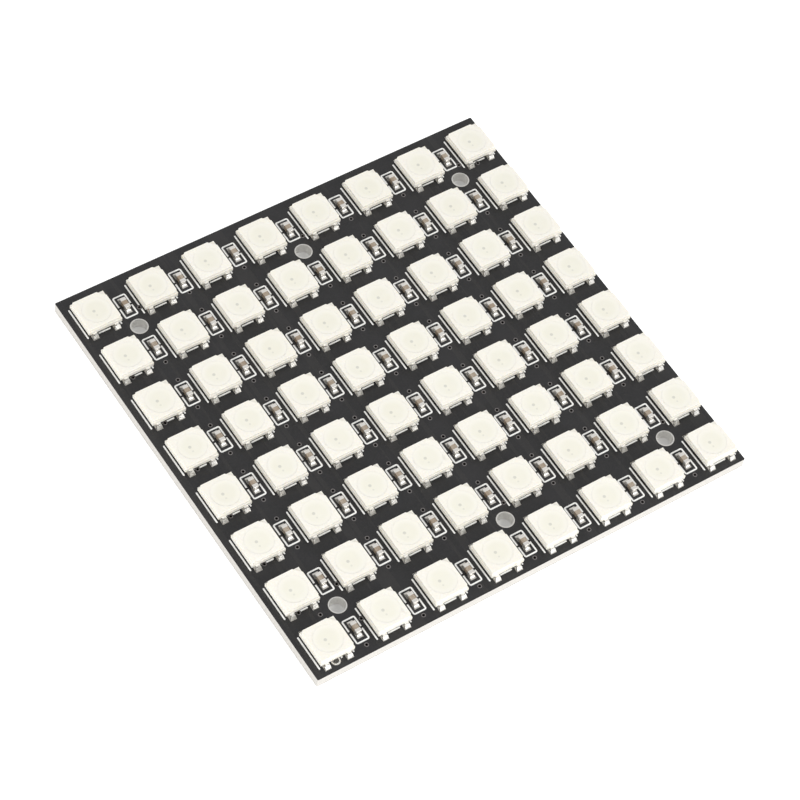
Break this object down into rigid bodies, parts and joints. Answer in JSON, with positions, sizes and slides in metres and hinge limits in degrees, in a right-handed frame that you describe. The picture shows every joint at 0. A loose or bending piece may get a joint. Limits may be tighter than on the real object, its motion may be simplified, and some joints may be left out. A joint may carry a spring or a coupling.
{
  "type": "rgb led matrix panel",
  "caption": "Rigid black circuit board with a square grid of white surface-mounted colour LEDs, a small capacitor between neighbours and holes for mounting screws.",
  "frame": {"origin": "centre of the board's back face, which lies on the floor", "axes": "+Z out of the LED face, +X along the longer side from the input corner's edge to the right, +Y towards the far edge"},
  "size_m": [0.0668, 0.0654, 0.0033],
  "materials": {
    "laminate": "bare glass-epoxy laminate, pale, seen on the board's edges",
    "solder_mask": "matte black solder mask",
    "white_print": "white printed lines",
    "plating": "plated copper barrel under mask ink",
    "tinned_pad": "tinned copper, satin",
    "solder": "reflowed solder, bright satin",
    "silicon": "silicon chip",
    "emitter": "light-emitting chip",
    "package_plastic": "white moulded plastic, slightly cream",
    "milky_resin": "milky resin, semi-gloss",
    "lead_metal": "plated copper lead, satin",
    "capacitor_ceramic": "tan brown ceramic",
    "tinned_end": "tinned metal end"
  },
  "bodies": {
    "root": {"circuit_board": "laminate", "solder_mask_front": "solder_mask", "solder_mask_back": "solder_mask", "silkscreen_front": "white_print", "via_barrels": "plating", "mount_linings": "tinned_pad", "wire_pads": "tinned_pad", "led_pads": "tinned_pad", "capacitor_pads": "tinned_pad", "capacitor_solder": "solder", "driver_chips": "silicon", "emitter_chips": "emitter", "led_housings_row_1": "package_plastic", "led_housings_row_2": "package_plastic", "led_housings_row_3": "package_plastic", "led_housings_row_4": "package_plastic", "led_housings_row_5": "package_plastic", "led_housings_row_6": "package_plastic", "led_housings_row_7": "package_plastic", "led_housings_row_8": "package_plastic", "led_lenses_row_1": "milky_resin", "led_lenses_row_2": "milky_resin", "led_lenses_row_3": "milky_resin", "led_lenses_row_4": "milky_resin", "led_lenses_row_5": "milky_resin", "led_lenses_row_6": "milky_resin", "led_lenses_row_7": "milky_resin", "led_lenses_row_8": "milky_resin", "led_leads_row_1": "lead_metal", "led_leads_row_2": "lead_metal", "led_leads_row_3": "lead_metal", "led_leads_row_4": "lead_metal", "led_leads_row_5": "lead_metal", "led_leads_row_6": "lead_metal", "led_leads_row_7": "lead_metal", "led_leads_row_8": "lead_metal", "led_solder_row_1": "solder", "led_solder_row_2": "solder", "led_solder_row_3": "solder", "led_solder_row_4": "solder", "led_solder_row_5": "solder", "led_solder_row_6": "solder", "led_solder_row_7": "solder", "led_solder_row_8": "solder", "capacitor_bodies_row_1": "capacitor_ceramic", "capacitor_bodies_row_2": "capacitor_ceramic", "capacitor_bodies_row_3": "capacitor_ceramic", "capacitor_bodies_row_4": "capacitor_ceramic", "capacitor_bodies_row_5": "capacitor_ceramic", "capacitor_bodies_row_6": "capacitor_ceramic", "capacitor_bodies_row_7": "capacitor_ceramic", "capacitor_bodies_row_8": "capacitor_ceramic", "capacitor_ends_row_1": "tinned_end", "capacitor_ends_row_2": "tinned_end", "capacitor_ends_row_3": "tinned_end", "capacitor_ends_row_4": "tinned_end", "capacitor_ends_row_5": "tinned_end", "capacitor_ends_row_6": "tinned_end", "capacitor_ends_row_7": "tinned_end", "capacitor_ends_row_8": "tinned_end"}
  },
  "joints": []
}
